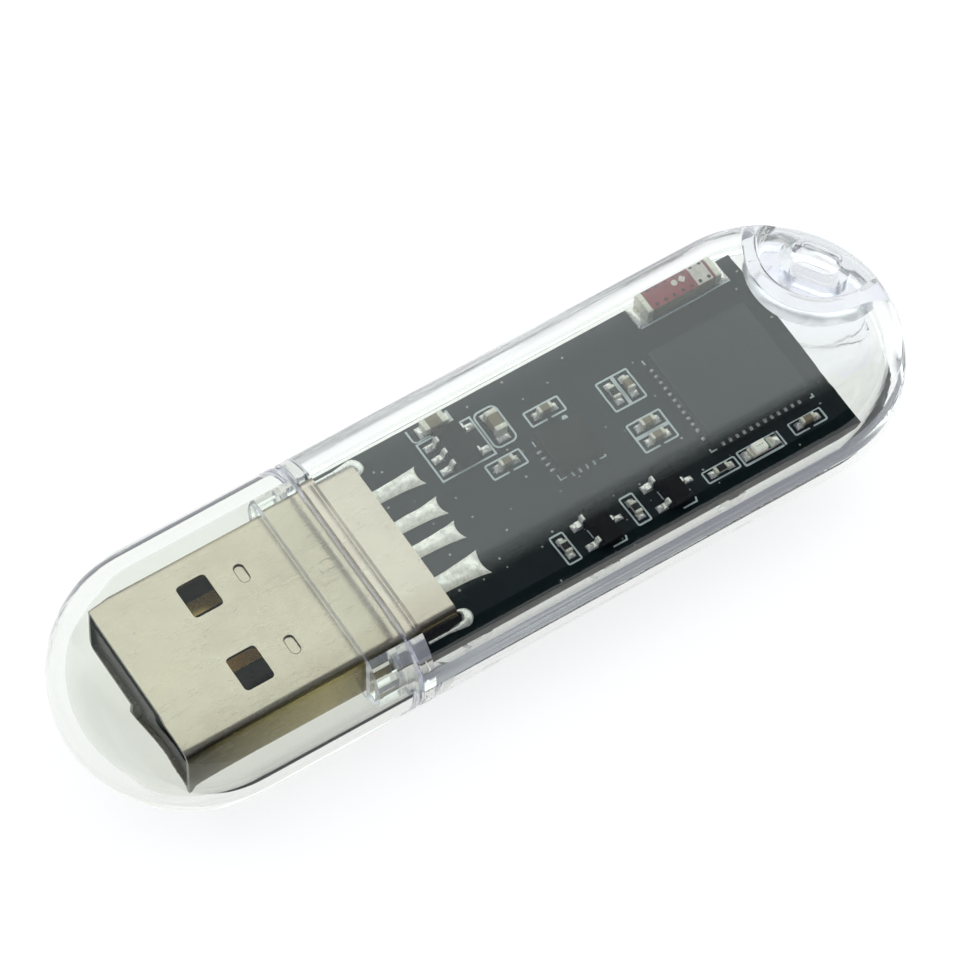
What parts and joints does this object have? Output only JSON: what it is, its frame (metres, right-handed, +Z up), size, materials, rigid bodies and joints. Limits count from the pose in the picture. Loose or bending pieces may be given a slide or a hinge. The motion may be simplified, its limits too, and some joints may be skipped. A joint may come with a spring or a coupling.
{
  "type": "usb microcontroller programmer",
  "caption": "Stick-shaped USB programmer: a small circuit board with a USB plug inside a clear two-shell case with round ends, a pull-off cap and a lanyard hole.",
  "frame": {"origin": "on the floor plane, under the middle of the closed case", "axes": "+X from the USB plug to the lanyard end, +Y to the antenna side, +Z up from the floor to the component side"},
  "size_m": [0.0584, 0.0174, 0.0084],
  "materials": {
    "clear_plastic": "clear, polished",
    "plug_metal": "nickel plated, satin",
    "plug_plastic": "moulded, matte",
    "contact_gold": "gold plated",
    "board": "black solder mask, semi-gloss",
    "solder": "reflowed tin, bright",
    "chip_epoxy": "moulded epoxy, matte",
    "capacitor_ceramic": "sintered ceramic, tan",
    "resistor_black": "black overglaze",
    "led_body": "cream, half clear resin",
    "antenna_ceramic": "printed ceramic, dark red"
  },
  "bodies": {
    "housing": {"upper_shell": "clear_plastic", "lower_shell": "clear_plastic", "plug_shell": "plug_metal", "plug_insulator": "plug_plastic", "contact_vbus": "contact_gold", "contact_data_minus": "contact_gold", "contact_data_plus": "contact_gold", "contact_ground": "contact_gold", "circuit_board": "board", "tail_solder_1": "solder", "tail_solder_2": "solder", "tail_solder_3": "solder", "tail_solder_4": "solder", "leg_solder_left": "solder", "leg_solder_right": "solder", "voltage_regulator": "chip_epoxy", "reset_transistor": "chip_epoxy", "boot_transistor": "chip_epoxy", "usb_serial_chip": "chip_epoxy", "microcontroller": "chip_epoxy", "input_capacitor": "capacitor_ceramic", "output_capacitor": "capacitor_ceramic", "usb_supply_capacitor": "capacitor_ceramic", "usb_bypass_capacitor": "capacitor_ceramic", "enable_resistor": "resistor_black", "enable_capacitor": "capacitor_ceramic", "decoupling_capacitor_1": "capacitor_ceramic", "decoupling_capacitor_2": "capacitor_ceramic", "reset_base_resistor": "resistor_black", "boot_base_resistor": "resistor_black", "led_resistor": "resistor_black", "supply_capacitor": "capacitor_ceramic", "status_led": "led_body", "chip_antenna": "antenna_ceramic"},
    "cap": {"cap": "clear_plastic"}
  },
  "joints": [
    {"name": "cap_pull", "type": "slide", "parent": "housing", "child": "cap", "axis": [-1, 0, 0], "range_m": [0, 0.022]}
  ]
}
